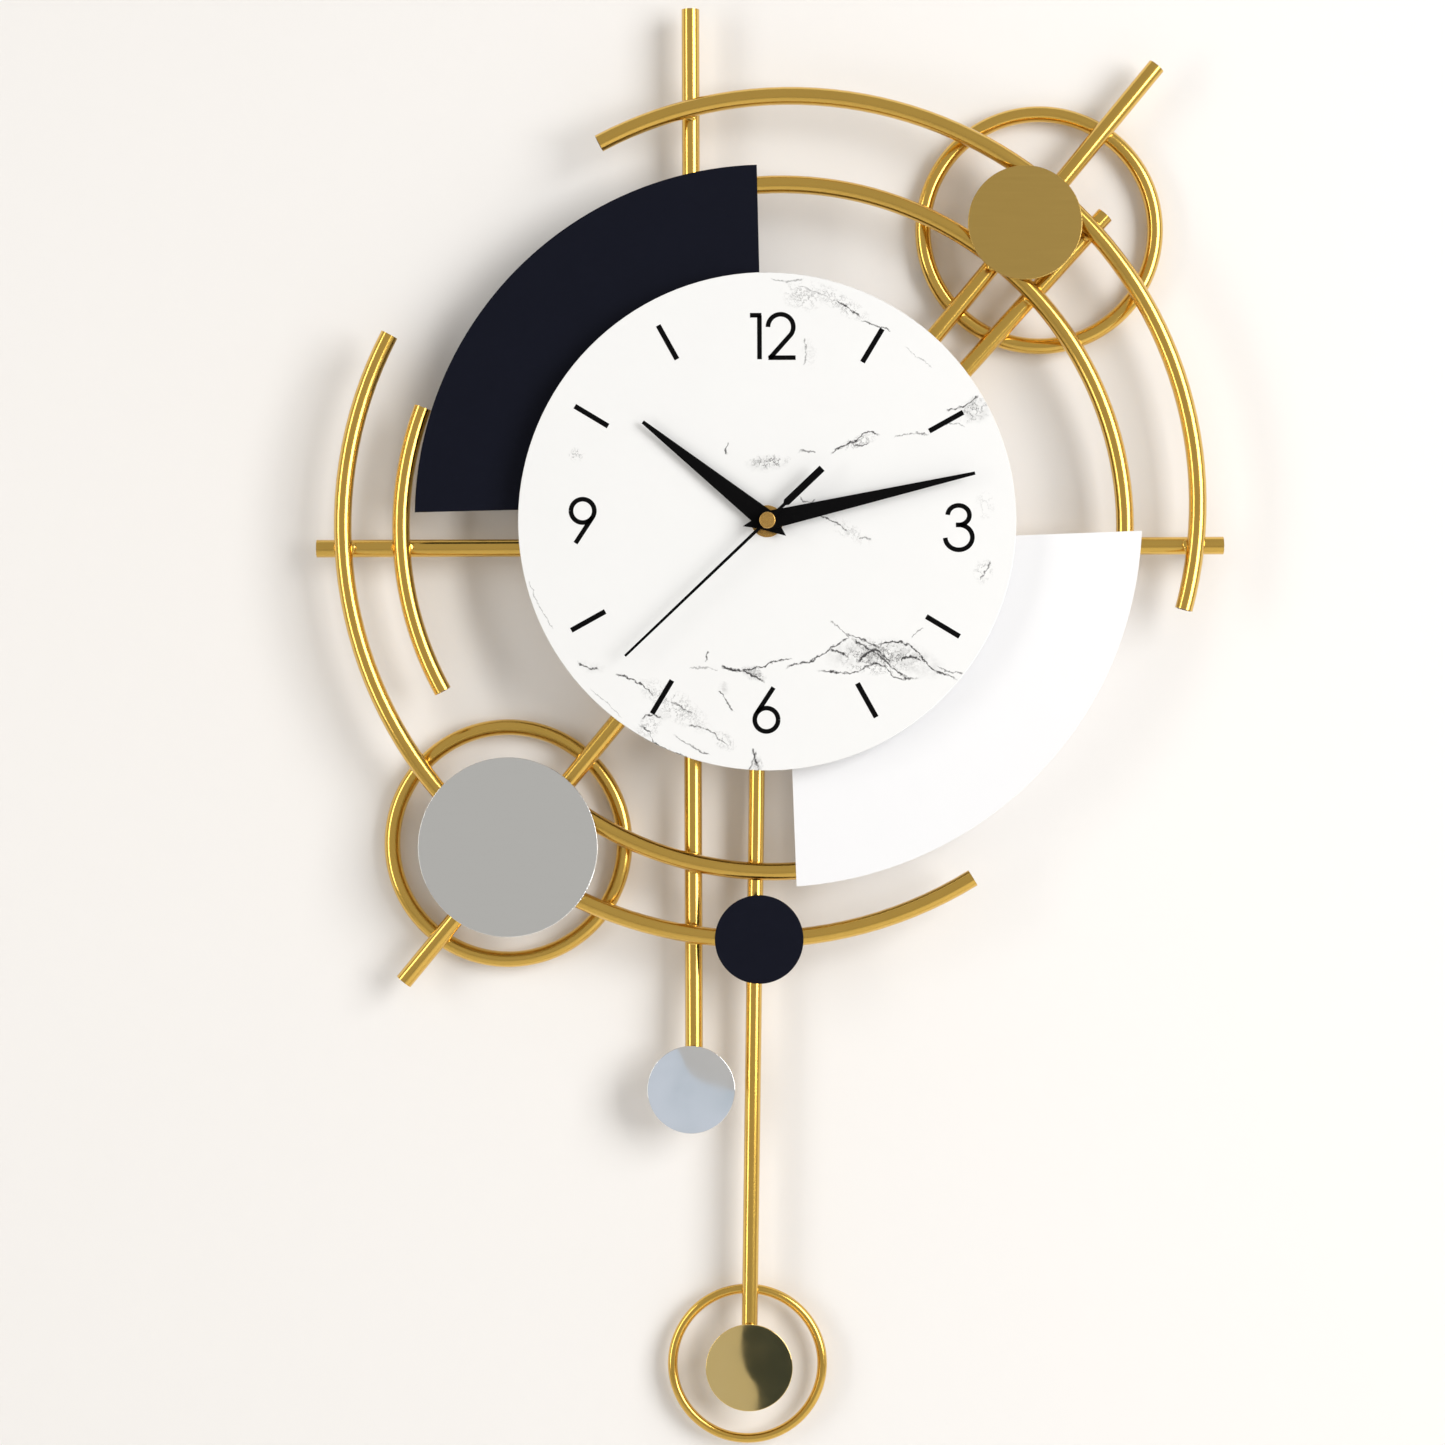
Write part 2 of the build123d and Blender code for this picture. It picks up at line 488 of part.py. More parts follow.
with BuildPart() as third_wheel:
    add_arbor(*THIRD_AT)
    add_gear(28.7, 0.8, THIRD_TEETH, x=THIRD_AT[0], z=THIRD_AT[1],
             phase=facing(THIRD_TEETH, 300))
    add_gear(29.7, 1.7, THIRD_PINION, CENTRE_MODULE, x=THIRD_AT[0], z=THIRD_AT[1],
             phase=facing(THIRD_PINION, 300, gap=True))
save(third_wheel.part, "third_wheel")

MINUTE_PIPE_R, MINUTE_PIPE_BORE_R, MINUTE_PIPE_TOP_H = 1.4, 0.72, 52.1
with BuildPart() as centre_wheel:
    add_gear(30.5, 0.8, CENTRE_TEETH, CENTRE_MODULE, phase=facing(CENTRE_TEETH, 120))
    add_gear(32.6, 1.3, CANNON_PINION, phase=facing(CANNON_PINION, -120, gap=True))
    add_round(30.5, MINUTE_PIPE_TOP_H, MINUTE_PIPE_R)
    add_round(30.5, MINUTE_PIPE_TOP_H, MINUTE_PIPE_BORE_R, mode=Mode.SUBTRACT)
save(centre_wheel.part, "centre_wheel")

with BuildPart() as minute_wheel:
    add_gear(32.7, 0.8, MINUTE_TEETH, x=MINUTE_AT[0], z=MINUTE_AT[1],
             phase=facing(MINUTE_TEETH, 60))
    add_gear(33.5, 2.0, MINUTE_PINION, HOUR_MODULE, x=MINUTE_AT[0], z=MINUTE_AT[1],
             phase=facing(MINUTE_PINION, 60, gap=True))
    add_round(32.7, 35.5, 0.67, *MINUTE_AT, mode=Mode.SUBTRACT)
save(minute_wheel.part, "minute_wheel")

HOUR_PIPE_R, HOUR_PIPE_BORE_R, HOUR_PIPE_TOP_H = 2.3, 1.48, 49.4
with BuildPart() as hour_wheel:
    add_gear(34.3, 0.8, HOUR_TEETH, HOUR_MODULE, phase=facing(HOUR_TEETH, -120))
    add_round(34.3, HOUR_PIPE_TOP_H, HOUR_PIPE_R)
    add_round(34.3, HOUR_PIPE_TOP_H, HOUR_PIPE_BORE_R, mode=Mode.SUBTRACT)
save(hour_wheel.part, "hour_wheel")

with BuildPart() as setting_knob:
    knob_r, knob_front_h, knob_t, ribs = 5.0, COVER_H - 0.3, 3.4, 18
    add_round(knob_front_h - knob_t, 33.9, 0.8, *SETTING_AT)
    add_gear(32.7, 0.9, SETTING_PINION, x=SETTING_AT[0], z=SETTING_AT[1],
             phase=facing(SETTING_PINION, 30, gap=True))
    with BuildSketch(layer(knob_front_h - knob_t, *SETTING_AT)):
        Circle(knob_r)
        with PolarLocations(knob_r, ribs):
            Circle(0.35, mode=Mode.SUBTRACT)
    extrude(amount=knob_t)
save(setting_knob.part, "setting_knob")


# ---------------------------------------------------------------- hands
HAND_T = 0.6
HOUR_HAND_H, MINUTE_HAND_H, SECOND_HAND_H = 48.1, 50.7, 53.5
HOUR_ANGLE, MINUTE_ANGLE, SECOND_ANGLE = 141.3, 12.7, 223.4   # from three o'clock, turning left


def blade_hand(name, h, angle, length, tail, hub_w, tip_w, hub_r, bore_r, collet_top_h):
    """Kite-shaped hand, widest at the hub, with a pressed collet that grips its pipe."""
    with BuildPart() as hand:
        with BuildSketch(layer(h)):
            with BuildLine(Rotation(0, 0, angle)):
                Polyline((-tail, 0), (0, -hub_w / 2), (length, -tip_w / 2),
                         (length, tip_w / 2), (0, hub_w / 2), close=True)
            make_face()
            Circle(hub_r)
        extrude(amount=HAND_T)
        add_round(h, collet_top_h, bore_r + 0.6)
        add_round(h, collet_top_h, bore_r, mode=Mode.SUBTRACT)
    save(hand.part, name)


blade_hand("hour_hand", HOUR_HAND_H, HOUR_ANGLE, 87.6, 13.2, 11.6, 2.0, 5.2, HOUR_PIPE_R,
           HOUR_HAND_H + 1.3)
blade_hand("minute_hand", MINUTE_HAND_H, MINUTE_ANGLE, 117.2, 13.8, 10.4, 1.8, 4.8,
           MINUTE_PIPE_R, MINUTE_HAND_H + 1.4)

with BuildPart() as second_hand:
    with BuildSketch(layer(SECOND_HAND_H)):
        Circle(2.4)
        with BuildLine(Rotation(0, 0, SECOND_ANGLE)):
            Polyline((-41.5, -2.0), (-14.5, -2.0), (-13.0, -0.9), (108.0, -0.7),
                     (108.0, 0.7), (-13.0, 0.9), (-14.5, 2.0), (-41.5, 2.0), close=True)
        make_face()
    extrude(amount=0.5)
    add_round(SECOND_HAND_H, SECOND_HAND_H + 0.5, SECOND_ARBOR_R, mode=Mode.SUBTRACT)
save(second_hand.part, "second_hand")

with BuildPart() as second_hand_cap:
    cap_back_h, cap_front_h = SECOND_HAND_H + 0.5, 57.5
    add_round(cap_back_h, cap_front_h, 4.5)
    fillet(second_hand_cap.edges().sort_by(Axis.Y)[:1], 0.6)
    add_round(cap_back_h, SECOND_TOP_H, SECOND_ARBOR_R, mode=Mode.SUBTRACT)
save(second_hand_cap.part, "second_hand_cap")

# ---------------------------------------------------------------- pendulum
PIN_R, EYE_R = 1.5, 1.55
HANGER_BACK_H, HANGER_FRONT_H = 13.5, 17.0
with BuildPart() as pendulum_pivot_pin:
    add_round(HANGER_BACK_H - 0.4, CASE_REAR_H, PIN_R, PIVOT_X, PIVOT_Z)
    add_round(HANGER_BACK_H - 1.6, HANGER_BACK_H - 0.4, 3.0, PIVOT_X, PIVOT_Z)
save(pendulum_pivot_pin.part, "pendulum_pivot_pin")

ROD_DOWN = (-sin(radians(ROD_TILT)), -cos(radians(ROD_TILT)))   # (x, z) along the leaning rod
PLUG_LENGTH = 12.0
with BuildPart() as pendulum_hanger:
    with BuildSketch(layer(HANGER_BACK_H)):
        with Locations((PIVOT_X, PIVOT_Z)):
            Circle(4.5)
        with BuildLine():
            Polyline((PIVOT_X - 4.5, PIVOT_Z), (PIVOT_X + 4.5, PIVOT_Z),
                     (ROD_TOP_X + 4.5, MAGNET_Z - 3.0), (ROD_TOP_X + 4.5, ROD_TOP_Z),
                     (ROD_TOP_X - 4.5, ROD_TOP_Z), (PIVOT_X - 4.5, MAGNET_Z - 3.0), close=True)
        make_face()
        with Locations((PIVOT_X, PIVOT_Z)):
            Circle(EYE_R, mode=Mode.SUBTRACT)
    extrude(amount=HANGER_FRONT_H - HANGER_BACK_H)
    rod_top = point(ROD_TOP_X, ROD_TOP_Z, ROD_H)
    with BuildSketch(Plane(origin=rod_top, z_dir=(ROD_DOWN[0], 0, ROD_DOWN[1]))):
        Circle(ROD_D / 2 - ROD_WALL)
    extrude(amount=PLUG_LENGTH)
save(pendulum_hanger.part, "pendulum_hanger")

with BuildPart() as pendulum_magnet:
    add_round(HANGER_FRONT_H, HANGER_FRONT_H + 2.5, 3.0, PIVOT_X, MAGNET_Z)
save(pendulum_magnet.part, "pendulum_magnet")

ROD_LENGTH, BOB_DROP = 424.0, 414.2
ROD_START = (ROD_TOP_X + 0.2 * ROD_DOWN[0], ROD_TOP_Z + 0.2 * ROD_DOWN[1])
ROD_END = (ROD_TOP_X + ROD_LENGTH * ROD_DOWN[0], ROD_TOP_Z + ROD_LENGTH * ROD_DOWN[1])
BOB_AT = (ROD_TOP_X + BOB_DROP * ROD_DOWN[0], ROD_TOP_Z + BOB_DROP * ROD_DOWN[1])
straight_tube("pendulum_rod", ROD_START, ROD_END, ROD_H, ROD_D, ROD_WALL)
BOB_RING_H = ROD_H - (ROD_D + BOB_RING_D) / 2
bent_tube("pendulum_ring", (BOB_AT[0] - 0.9, BOB_AT[1]), 42.0, 0, 360, BOB_RING_H, BOB_RING_D, 0)
disc_with_stud("pendulum_disc", BOB_AT, 24.3, ROD_H + ROD_D / 2 + 1.5, BOB_AT, ROD_H,
               90.0 - ROD_TILT, ROD_D, 3.5)
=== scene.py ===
import json
import math

import bmesh
import bpy
from mathutils import Matrix, Vector, noise
from mathutils.bvhtree import BVHTree


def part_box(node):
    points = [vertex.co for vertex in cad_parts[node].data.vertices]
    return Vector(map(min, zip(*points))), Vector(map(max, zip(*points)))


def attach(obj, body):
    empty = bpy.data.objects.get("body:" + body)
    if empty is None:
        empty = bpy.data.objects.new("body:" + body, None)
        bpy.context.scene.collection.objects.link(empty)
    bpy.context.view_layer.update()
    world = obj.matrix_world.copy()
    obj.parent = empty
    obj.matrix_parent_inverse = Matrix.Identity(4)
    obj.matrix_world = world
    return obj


# The looks of a pendulum wall clock: its materials, dial print and weld beads, and the studio.
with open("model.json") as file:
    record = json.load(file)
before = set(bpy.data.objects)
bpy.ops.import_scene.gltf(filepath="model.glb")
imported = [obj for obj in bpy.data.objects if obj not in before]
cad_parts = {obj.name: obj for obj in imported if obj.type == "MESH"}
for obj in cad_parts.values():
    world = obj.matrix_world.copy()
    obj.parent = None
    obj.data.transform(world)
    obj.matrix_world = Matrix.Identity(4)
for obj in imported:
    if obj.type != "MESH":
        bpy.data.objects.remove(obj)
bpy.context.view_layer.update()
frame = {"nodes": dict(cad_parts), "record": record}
MM = 0.001
SLOT_OF = {row["node"]: row["material_slot"] for row in frame["record"]["subparts"]}


# ---------------------------------------------------------------- places, from the frame
def middle(node):
    low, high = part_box(node)
    return (low + high) / 2


DIAL = middle("dial")
DIAL_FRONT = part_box("dial")[0].y
FRONT = Vector((0, -1, 0))
TUBE_RADIUS = 5.0 * MM
ROD_RADIUS = 4.5 * MM


def on_dial(x, z, lift=0.0):
    """Point x, z millimetres from the hand axis, on the dial's face or lift millimetres proud of it."""
    return Vector((DIAL.x + x * MM, DIAL_FRONT - lift * MM, DIAL.z + z * MM))


# ---------------------------------------------------------------- shader nodes
class Shader:
    """Short names for the node types that the materials below use."""

    def __init__(self, name):
        self.material = bpy.data.materials.new(name)
        self.material.use_nodes = True
        self.tree = self.material.node_tree
        self.bsdf = self.tree.nodes["Principled BSDF"]
        self.position = self.node("ShaderNodeTexCoord").outputs["Object"]

    def node(self, kind, **settings):
        """A new shader node, with its properties set."""
        made = self.tree.nodes.new(kind)
        for key, value in settings.items():
            setattr(made, key, value)
        return made

    def wire(self, socket, value):
        """Feeds an input from another node's output, or sets it to a plain value."""
        if isinstance(value, bpy.types.NodeSocket):
            self.tree.links.new(value, socket)
        elif value is not None:
            socket.default_value = value

    def math(self, operation, a, b=None, clamp=False):
        """One sum on one or two values."""
        made = self.node("ShaderNodeMath", operation=operation, use_clamp=clamp)
        for socket, value in zip(made.inputs, (a, b)):
            self.wire(socket, value)
        return made.outputs[0]

    def vector(self, operation, a, b=None):
        """One vector sum, which gives a vector, or for LENGTH a value."""
        made = self.node("ShaderNodeVectorMath", operation=operation)
        self.wire(made.inputs[0], a)
        self.wire(made.inputs[1], b)
        return made.outputs["Value" if operation == "LENGTH" else "Vector"]

    def noise(self, scale, detail=2.0, roughness=0.5, at=None, colour=False):
        """Cloudy noise between nought and one; as a colour, three of them at once."""
        made = self.node("ShaderNodeTexNoise")
        self.wire(made.inputs["Vector"], at or self.position)
        made.inputs["Scale"].default_value = scale
        made.inputs["Detail"].default_value = detail
        made.inputs["Roughness"].default_value = roughness
        return made.outputs["Color" if colour else "Fac"]

    def range(self, value, low, high, to_low=0.0, to_high=1.0):
        """A value mapped in proportion from one range to another, ends included."""
        made = self.node("ShaderNodeMapRange")
        for key, given in (("Value", value), ("From Min", low), ("From Max", high),
                           ("To Min", to_low), ("To Max", to_high)):
            self.wire(made.inputs[key], given)
        return made.outputs["Result"]

    def mix(self, share, a, b):
        """Colour a where share is nought, colour b where it is one."""
        made = self.node("ShaderNodeMix", data_type="RGBA")
        self.wire(made.inputs["Factor"], share)
        for socket, value in ((made.inputs[6], a), (made.inputs[7], b)):
            self.wire(socket, (*value, 1) if isinstance(value, tuple) else value)
        return made.outputs[2]

    def bump(self, height, distance):
        """Relief of the surface; distance is its depth in metres."""
        made = self.node("ShaderNodeBump")
        made.inputs["Distance"].default_value = distance
        made.inputs["Strength"].default_value = 1.0
        self.wire(made.inputs["Height"], height)
        self.wire(self.bsdf.inputs["Normal"], made.outputs["Normal"])

    def set(self, **values):
        """Sets the surface's main qualities by short names."""
        names = {"colour": "Base Color", "metallic": "Metallic", "roughness": "Roughness",
                 "specular": "Specular IOR Level", "coat": "Coat Weight",
                 "coat_roughness": "Coat Roughness"}
        for key, value in values.items():
            self.wire(self.bsdf.inputs[names[key]],
                      (*value, 1) if isinstance(value, tuple) else value)

    def stretched(self, along):
        """Position squeezed by a factor along each axis, for grain that runs one way."""
        made = self.node("ShaderNodeMapping")
        self.wire(made.inputs["Vector"], self.position)
        made.inputs["Scale"].default_value = along
        return made.outputs["Vector"]


# ---------------------------------------------------------------- materials
def satin_gold():
    """Metallic gold powder coat: fine flake, faint orange peel, slight unevenness of tone."""
    s = Shader("satin_gold")
    tone = s.noise(60, 3)
    flake = s.noise(5200, 1)
    s.set(colour=s.mix(tone, (0.71, 0.445, 0.075), (0.78, 0.49, 0.088)), metallic=1.0,
          roughness=s.range(flake, 0.3, 0.7, 0.15, 0.20), coat=0.7, coat_roughness=0.13)
    s.bump(s.math("ADD", s.noise(900, 2), s.math("MULTIPLY", flake, 0.5)), 0.000008)
    return s.material


def brushed(name, dark, light, rough, depth):
    """Metal sheet brushed from side to side."""
    s = Shader(name)
    grain = s.noise(1300, 3, at=s.stretched((0.03, 1, 1)))
    s.set(colour=s.mix(grain, dark, light), metallic=1.0,
          roughness=s.range(grain, 0.2, 0.8, *rough))
    s.bump(grain, depth)
    return s.material


def mirror(name, light, dark):
    """Polished sheet with a faint waviness and haze."""
    s = Shader(name)
    haze = s.noise(55, 2)
    s.set(colour=s.mix(s.range(haze, 0.35, 0.65), dark, light), metallic=1.0,
          roughness=s.range(haze, 0.3, 0.7, 0.02, 0.045))
    s.bump(s.noise(30, 1), 0.00002)
    return s.material


def paint(name, light, dark, specular):
    """Sprayed matt paint with orange peel and a slight change of tone."""
    s = Shader(name)
    s.set(colour=s.mix(s.noise(35, 3), dark, light),
          roughness=s.range(s.noise(420, 2), 0.3, 0.7, 0.42, 0.5), specular=specular)
    s.bump(s.noise(700, 2), 0.00001)
    return s.material


def moulded_plastic(name, light, dark):
    """Plastic with the fine grain of a spark-eroded mould."""
    s = Shader(name)
    s.set(colour=s.mix(s.noise(160, 2), dark, light),
          roughness=s.range(s.noise(1500, 2), 0.3, 0.7, 0.42, 0.6))
    s.bump(s.noise(2600, 2), 0.00005)
    return s.material


def plated_metal(name, light, dark):
    """Bright plating, a little cloudy."""
    s = Shader(name)
    s.set(colour=s.mix(s.noise(300, 2), dark, light), metallic=1.0,
          roughness=s.range(s.noise(800, 3), 0.3, 0.7, 0.18, 0.34))
    s.bump(s.noise(1800, 2), 0.00001)
    return s.material


LATHE_TURN = 26000  # radians of the ring pattern in a metre


def turned_brass():
    """Brass with fine lathe rings about the hand axis."""
    s = Shader("turned_brass")
    from_axis = s.vector("SUBTRACT", s.position, tuple(DIAL))
    flat = s.vector("MULTIPLY", from_axis, (1, 0, 1))
    rings = s.math("SINE", s.math("MULTIPLY", s.vector("LENGTH", flat), LATHE_TURN))
    s.set(colour=s.mix(s.noise(400, 2), (0.58, 0.33, 0.085), (0.70, 0.43, 0.13)),
          metallic=1.0, roughness=s.range(s.noise(700, 2), 0.3, 0.7, 0.2, 0.32))
    s.bump(rings, 0.000006)
    return s.material


def rubber():
    """Dull black rubber with a mottled skin."""
    s = Shader("bumper_rubber")
    s.set(colour=s.mix(s.noise(200, 3), (0.012, 0.012, 0.012), (0.03, 0.03, 0.03)),
          roughness=s.range(s.noise(900, 2), 0.3, 0.7, 0.7, 0.9))
    s.bump(s.noise(1500, 3), 0.00006)
    return s.material


def copper_winding():
    """Enamelled wire, wound side by side."""
    s = Shader("copper_winding")
    wires = s.noise(2500, 1, at=s.stretched((1, 0.1, 0.1)))
    s.set(colour=s.mix(wires, (0.30, 0.09, 0.03), (0.60, 0.24, 0.10)), metallic=0.9,
          roughness=0.35)
    s.bump(wires, 0.00005)
    return s.material


def battery_jacket():
    """Plain dark sleeve with a copper-coloured band and a bare cap at the positive end."""
    band_length, cap_length = 14 * MM, 1.6 * MM
    s = Shader("battery_jacket")
    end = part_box("battery")[1].x
    split = s.node("ShaderNodeSeparateXYZ")
    s.wire(split.inputs[0], s.position)
    band = s.math("GREATER_THAN", split.outputs[0], end - band_length)
    cap = s.math("GREATER_THAN", split.outputs[0], end - cap_length)
    sleeve = s.mix(band, (0.015, 0.017, 0.02), (0.45, 0.22, 0.07))
    s.set(colour=s.mix(cap, sleeve, (0.6, 0.6, 0.6)), metallic=cap,
          roughness=s.range(s.noise(300, 2), 0.3, 0.7, 0.25, 0.35), coat=0.4)
    return s.material


MARBLE_WHITE = (0.87, 0.875, 0.875)
VEIN_GREY = (0.05, 0.048, 0.05)

# Printed veins in millimetres from the hand axis: points, half width and darkness. Those in
# CROSS_VEINS run from left to right, those in UPRIGHT_VEINS from the bottom upwards.
CROSS_VEINS = [
    # the mountain ridge at lower right, with its two crests and its foot
    ([(10, -81), (18, -78), (26, -76), (32, -72), (42, -66), (46, -65)], 0.75, 0.85),
    ([(43, -62), (48, -64), (53, -66), (60, -69), (66, -71)], 0.7, 0.75),
    ([(60, -69), (69, -67), (77, -68), (80, -70), (85, -75), (91, -82), (98, -85), (105, -88)],
     0.8, 0.95),
    ([(49, -78), (56, -73), (60, -71), (64, -74), (69, -80)], 1.2, 0.95),
    ([(46, -65), (53, -69), (60, -73), (66, -78), (73, -84), (78, -87)], 0.9, 0.9),
    ([(27, -83), (37, -83), (44, -84), (52, -82), (59, -79), (67, -83), (74, -87), (84, -86)],
     0.7, 0.8),
    ([(34, -71), (39, -72), (44, -75)], 0.9, 0.9),
    ([(73, -78), (78, -75), (85, -77)], 0.9, 0.9),
    ([(35, -55), (42, -61), (46, -65)], 0.6, 0.55),
    ([(79, -65), (82, -62), (87, -59)], 0.6, 0.55),
    ([(93, -79), (98, -83), (108, -84)], 0.5, 0.6),
    # the dark knot to its left, with two tails
    ([(-26, -80), (-20, -82), (-13, -83), (-7, -86), (-1, -89)], 0.9, 0.95),
    ([(-21, -82), (-13, -82), (-5, -81), (2, -78), (10, -76), (15, -76)], 0.7, 0.85),
    ([(-44, -81), (-38, -80), (-33, -81), (-27, -82)], 0.5, 0.4),
    # lower left
    ([(-105, -77), (-100, -80), (-93, -81)], 0.8, 0.8),
    ([(-84, -84), (-73, -88), (-67, -92), (-62, -97)], 0.65, 0.8),
    ([(-54, -99), (-49, -102), (-42, -106)], 0.6, 0.65),
    ([(-44, -112), (-33, -115), (-28, -119), (-22, -124)], 0.65, 0.7),
    ([(-52, -117), (-43, -124), (-31, -129)], 0.6, 0.65),
    ([(-70, -110), (-64, -107), (-58, -109)], 0.7, 0.8),
    ([(-71, -112), (-66, -116), (-64, -121), (-60, -124), (-51, -128), (-41, -132)], 0.8, 0.85),
    ([(-98, -92), (-88, -101), (-80, -108)], 0.5, 0.35),
    # the line that climbs from above the hub to the right edge
    ([(17, 38), (21, 39), (27, 38)], 0.6, 0.6),
    ([(35, 37), (43, 42), (50, 45), (55, 49), (63, 47)], 0.75, 0.85),
    ([(46, 44), (52, 42), (57, 44)], 0.6, 0.7),
    ([(70, 46), (81, 48), (89, 48)], 0.55, 0.55),
    ([(99, 61), (108, 63), (117, 69)], 0.7, 0.85),
    ([(94, 53), (103, 54), (110, 51)], 0.5, 0.5),
    # right of the hub, and the upper edge
    ([(17, 15), (22, 11), (27, 12)], 0.6, 0.6),
    ([(27, 3), (36, 0), (45, -6)], 0.7, 0.75),
    ([(50, -10), (54, -9), (58, -10)], 0.6, 0.6),
    ([(17, 130), (28, 126), (37, 122)], 0.5, 0.45),
    ([(38, 122), (45, 118), (52, 112)], 0.7, 0.8),
    ([(52, 111), (60, 108), (69, 105)], 0.6, 0.75),
    ([(2, 134), (12, 132), (20, 134)], 0.6, 0.45),
    ([(76, 96), (84, 90), (92, 84)], 0.5, 0.35),
]
UPRIGHT_VEINS = [
    ([(-35, -78), (-34, -75), (-33, -71)], 0.7, 0.75),
    ([(-19, -105), (-23, -98), (-27, -93)], 0.7, 0.8),
    ([(-4, -138), (-7, -131), (-9, -125)], 0.7, 0.85),
    ([(-10, -138), (-8, -132), (-7, -127)], 0.6, 0.6),
    ([(-22, 37), (-23, 40), (-21, 44)], 0.7, 0.75),
    ([(21, 86), (22, 94), (20, 102)], 0.6, 0.5),
    ([(117, -33), (120, -28), (123, -22)], 0.7, 0.65),
    ([(-118, -60), (-126, -46), (-132, -32)], 0.5, 0.4),
]
# Fields of fine broken lines: centre, half size, turn and darkness.
SCRIBBLES = [
    ((61, -75), (27, 11), -3, 1.0), ((60, -73), (9, 6), 0, 1.0), ((-8, -84), (8, 4), -25, 1.0),
    ((1, 33), (13, 4), 3, 0.95), ((115, 61), (11, 8), 20, 0.8), ((51, 44), (12, 4), 20, 0.6),
    ((-66, -113), (9, 7), 40, 0.5), ((-52, -101), (26, 9), -35, 0.5), ((-24, -121), (8, 5), -35, 0.5),
    ((40, 121), (22, 6), -32, 0.5), ((20, 124), (13, 9), -10, 0.5), ((-105, 37), (5, 4), 0, 0.6),
    ((44, -5), (16, 5), -30, 0.3), ((-6, -134), (4, 6), 0, 0.6), ((24, 93), (5, 10), 10, 0.16),
    ((119, -28), (6, 8), 0, 0.5), ((120, 8), (6, 9), 0, 0.3),
]
# Soft grey clouds: centre, half size, turn and darkness.
CLOUDS = [
    ((48, -73), (19, 8), 12, 0.26), ((79, -76), (22, 9), -25, 0.28), ((60, -74), (9, 6), 0, 0.65),
    ((-8, -84), (8, 4), -25, 0.5), ((0, 32), (13, 5), 3, 0.2), ((115, 60), (10, 8), 0, 0.2),
    ((-24, -92), (3, 4), 20, 0.3), ((-97, -80), (9, 4), -10, 0.15), ((-6, -134), (4, 5), 0, 0.3),
    ((-60, -107), (9, 4), 0, 0.15),
]


